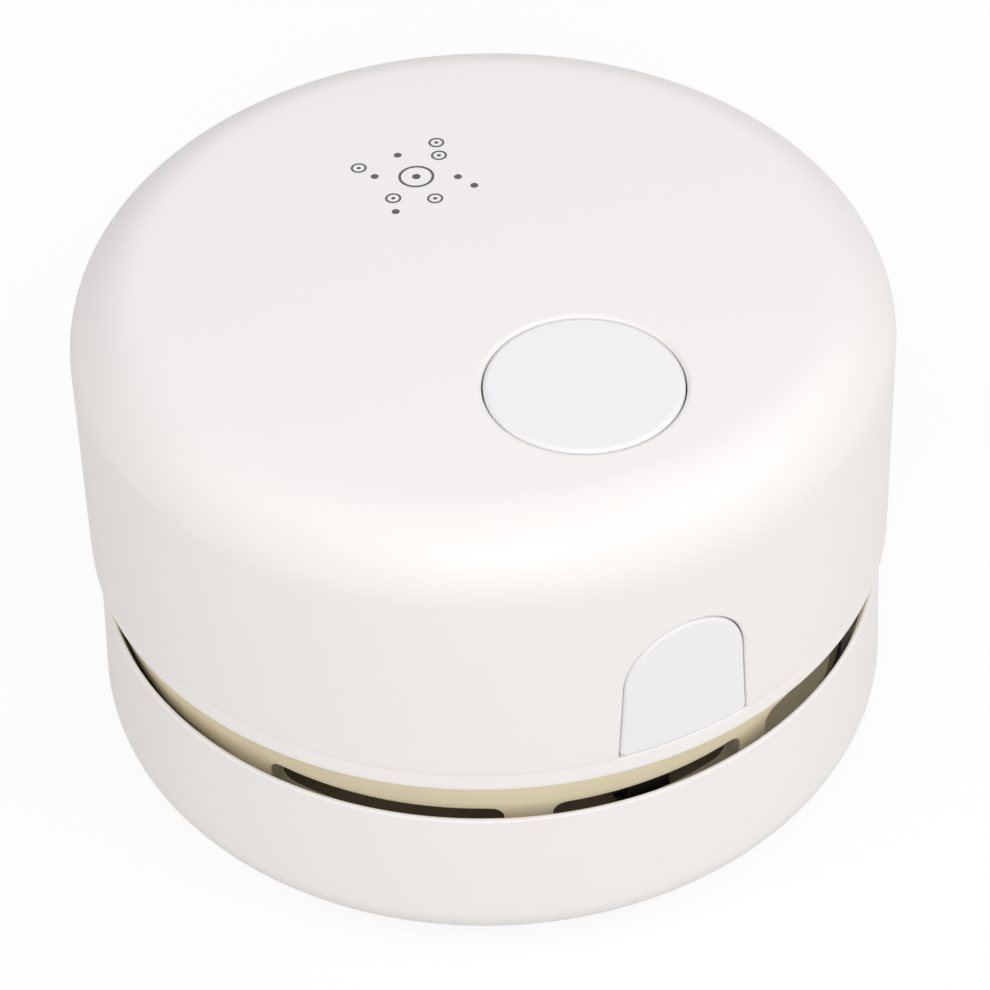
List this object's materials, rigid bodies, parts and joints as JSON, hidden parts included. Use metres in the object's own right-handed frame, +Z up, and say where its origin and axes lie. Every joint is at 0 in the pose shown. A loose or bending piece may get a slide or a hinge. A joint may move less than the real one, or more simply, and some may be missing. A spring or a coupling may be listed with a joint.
{
  "type": "desktop vacuum cleaner",
  "caption": "Round desktop crumb vacuum: a motor head with a push button and a side release button lifts off a dust bin with a brushed inlet.",
  "frame": {"origin": "centre of the bin's footprint on the table, under the glide feet", "axes": "+Z up along the fan's axis; -Y towards the release button; +Y towards the charging socket"},
  "size_m": [0.086, 0.086, 0.0573],
  "materials": {
    "white_casing": "glossy warm white",
    "champagne_plastic": "satin champagne beige",
    "grey_plastic": "matte light grey",
    "white_nylon": "matte natural nylon",
    "dark_plastic": "matte black",
    "dark_bristle": "nylon bristles",
    "glide_pad": "low-friction pad",
    "dark_rubber": "matte",
    "steel": "bright zinc or nickel",
    "magnet": "bare ferrite",
    "copper": "copper winding on a steel core",
    "bronze": "sintered bronze and brass",
    "grey_sponge": "open-cell foam",
    "cell_sleeve": "shrink sleeve on a steel can",
    "tape": "double-sided foam tape",
    "circuit_board": "solder mask on glass-fibre board",
    "clear_light": "frosted clear light pipe",
    "red_wire": "wire sleeve",
    "black_wire": "wire sleeve",
    "white_wire": "wire sleeve"
  },
  "bodies": {
    "bin": {"dust_bin": "white_casing", "seat_ring": "grey_plastic", "inlet_nozzle": "champagne_plastic", "brush_ring": "dark_bristle", "glide_feet": "glide_pad"},
    "head": {"chassis": "white_casing", "cover_posts": "white_casing", "outlet_front": "champagne_plastic", "outlet_back": "champagne_plastic", "fan_plate": "grey_plastic", "filter_cup": "grey_plastic", "cover_seal": "dark_rubber", "cover_screws": "steel", "filter_frame": "grey_plastic", "filter_mesh": "steel", "filter_sponge": "grey_sponge", "motor_magnets": "magnet", "motor_can": "steel", "motor_end_cap": "white_nylon", "motor_bushes": "bronze", "motor_terminals": "bronze", "motor_damper": "dark_rubber", "motor_clamp": "steel", "clamp_screws": "steel", "battery_cell": "cell_sleeve", "battery_tabs": "steel", "battery_tape": "tape", "charge_board": "circuit_board", "board_chips": "dark_plastic", "board_screws": "steel", "charge_socket": "steel", "charge_light": "clear_light", "switch_board": "circuit_board", "switch_board_screws": "steel", "switch_body": "dark_plastic", "button_spring": "steel", "release_spring": "steel", "lead_motor_plus": "red_wire", "lead_motor_minus": "black_wire", "lead_cell_plus": "red_wire", "lead_cell_minus": "black_wire", "lead_switch_a": "white_wire", "lead_switch_b": "white_wire", "top_shell": "white_casing", "shell_screws": "steel"},
    "fan_rotor": {"impeller": "white_nylon", "motor_shaft": "steel", "motor_armature": "copper"},
    "power_button": {"power_button": "white_casing", "switch_plunger": "white_nylon"},
    "release_latch": {"release_button": "white_casing", "latch_arm": "dark_plastic"}
  },
  "joints": [
    {"name": "head_lift", "type": "slide", "parent": "bin", "child": "head", "axis": [0, 0, 1], "range_m": [0, 0.03]},
    {"name": "fan_spin", "type": "hinge", "parent": "head", "child": "fan_rotor", "pos_m": [0, 0, 0.0352], "axis": [0, 0, 1], "continuous": true},
    {"name": "power_press", "type": "slide", "parent": "head", "child": "power_button", "axis": [0, 0, -1], "range_m": [0, 0.0015], "stiffness_N_per_m": 600, "springref_m": -0.002, "deforming": ["button_spring"]},
    {"name": "release_press", "type": "slide", "parent": "head", "child": "release_latch", "axis": [0, 1, 0], "range_m": [0, 0.0016], "stiffness_N_per_m": 500, "springref_m": -0.002, "deforming": ["release_spring"]}
  ]
}
